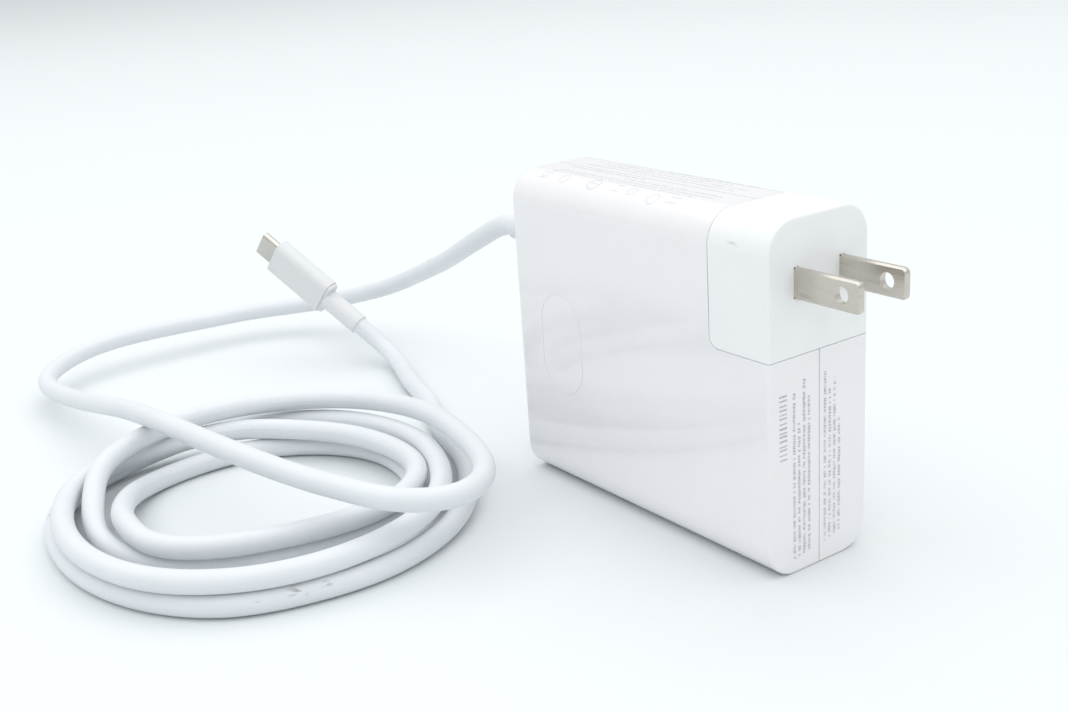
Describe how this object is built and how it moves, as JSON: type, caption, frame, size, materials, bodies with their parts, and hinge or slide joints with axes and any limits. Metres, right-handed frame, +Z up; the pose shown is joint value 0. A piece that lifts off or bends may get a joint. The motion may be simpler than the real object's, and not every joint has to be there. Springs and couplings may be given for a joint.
{
  "type": "laptop power adapter",
  "caption": "White flat laptop charger with a lift-off plug head with flat mains blades, a captive coiled cord and a USB-C plug, built from its shells, electronics and cord parts.",
  "frame": {"origin": "centre of the case's flat bottom face, on which the adapter stands", "axes": "+X the way the blades point, +Y through the case's thickness towards its rear shell, +Z up"},
  "size_m": [0.2616, 0.1407, 0.075],
  "materials": {
    "case_white": "glossy moulded polycarbonate, cool white",
    "head_white": "satin moulded polycarbonate, slightly whiter than the case",
    "cord_white": "matte cool-white elastomer jacket",
    "grip_white": "satin white moulded grip",
    "blade_nickel": "nickel-plated brass, brushed along its length",
    "nose_nickel": "nickel-plated drawn steel",
    "spring_steel": "stainless steel",
    "brass_pin": "bright brass",
    "aluminium_sheet": "bare aluminium",
    "insulation_film": "yellow insulation film",
    "thermal_pad": "soft blue-grey silicone pad",
    "board_green": "green solder mask",
    "holder_plastic": "dark moulded nylon",
    "wire_red": "red insulation",
    "wire_black": "black insulation",
    "fuse_brown": "brown fuse body",
    "varistor_blue": "blue coated disc",
    "ferrite": "dark grey ferrite",
    "copper_wire": "enamelled copper",
    "winding_tape": "yellow polyester tape",
    "film_cap_yellow": "yellow film capacitor box",
    "can_sleeve": "dark shrink sleeve on an aluminium can",
    "polymer_can": "bare aluminium can",
    "chip_black": "black epoxy package",
    "disc_orange": "orange-brown coated disc",
    "contact_gold": "gold-plated contacts"
  },
  "bodies": {
    "case": {"front_shell": "case_white", "rear_shell": "case_white", "head_stud": "spring_steel", "heat_spreader_front": "aluminium_sheet", "heat_spreader_rear": "aluminium_sheet", "insulation_sheet": "insulation_film", "thermal_pad_front": "thermal_pad", "thermal_pad_rear": "thermal_pad", "main_board": "board_green", "inlet_block": "holder_plastic", "inlet_pins": "brass_pin", "live_wire": "wire_red", "neutral_wire": "wire_black", "fuse": "fuse_brown", "varistor": "varistor_blue", "choke_core": "ferrite", "choke_windings": "copper_wire", "x_capacitor": "film_cap_yellow", "bulk_capacitors": "can_sleeve", "transformer_core": "ferrite", "transformer_winding": "winding_tape", "transformer_bobbin": "holder_plastic", "boost_inductor_core": "ferrite", "boost_inductor_winding": "winding_tape", "bridge_rectifier": "chip_black", "mosfet_heatsink": "aluminium_sheet", "primary_mosfet": "chip_black", "sync_rectifier": "chip_black", "y_capacitors": "disc_orange", "output_capacitors": "polymer_can", "controller_board": "board_green", "controller_chips": "chip_black", "cord_clamp": "holder_plastic", "strain_relief": "cord_white", "cord_inner_end": "cord_white", "output_wires": "wire_black"},
    "plug_head": {"plug_head_shell": "head_white", "plug_head_base": "head_white", "live_blade": "blade_nickel", "neutral_blade": "blade_nickel", "blade_contacts": "brass_pin", "head_divider": "holder_plastic", "retention_spring": "spring_steel"},
    "cord": {"cord_jacket_lead": "cord_white", "cord_jacket_coil": "cord_white", "cord_jacket_tail": "cord_white", "cord_core_lead": "copper_wire", "cord_core_coil": "copper_wire", "cord_core_tail": "copper_wire"},
    "usb_plug": {"usb_collar": "grip_white", "usb_cord_end": "cord_white", "usb_grip": "grip_white", "usb_nose": "nose_nickel", "usb_insert": "chip_black", "usb_contacts": "contact_gold", "usb_board": "board_green", "usb_chip": "chip_black", "usb_shield": "spring_steel"}
  },
  "joints": [
    {"name": "plug_head_slide", "type": "slide", "parent": "case", "child": "plug_head", "axis": [0, 0, 1], "range_m": [0, 0.03]},
    {"name": "cord_swing", "type": "hinge", "parent": "case", "child": "cord", "pos_m": [-0.06, 0, 0.0565], "axis": [0, 0, 1], "range_deg": [-20, 20]},
    {"name": "usb_plug_bend", "type": "hinge", "parent": "cord", "child": "usb_plug", "pos_m": [-0.1468, -0.0027, 0.0122], "axis": [-0.4571, 0.8894, 0], "range_deg": [-25, 25]}
  ]
}
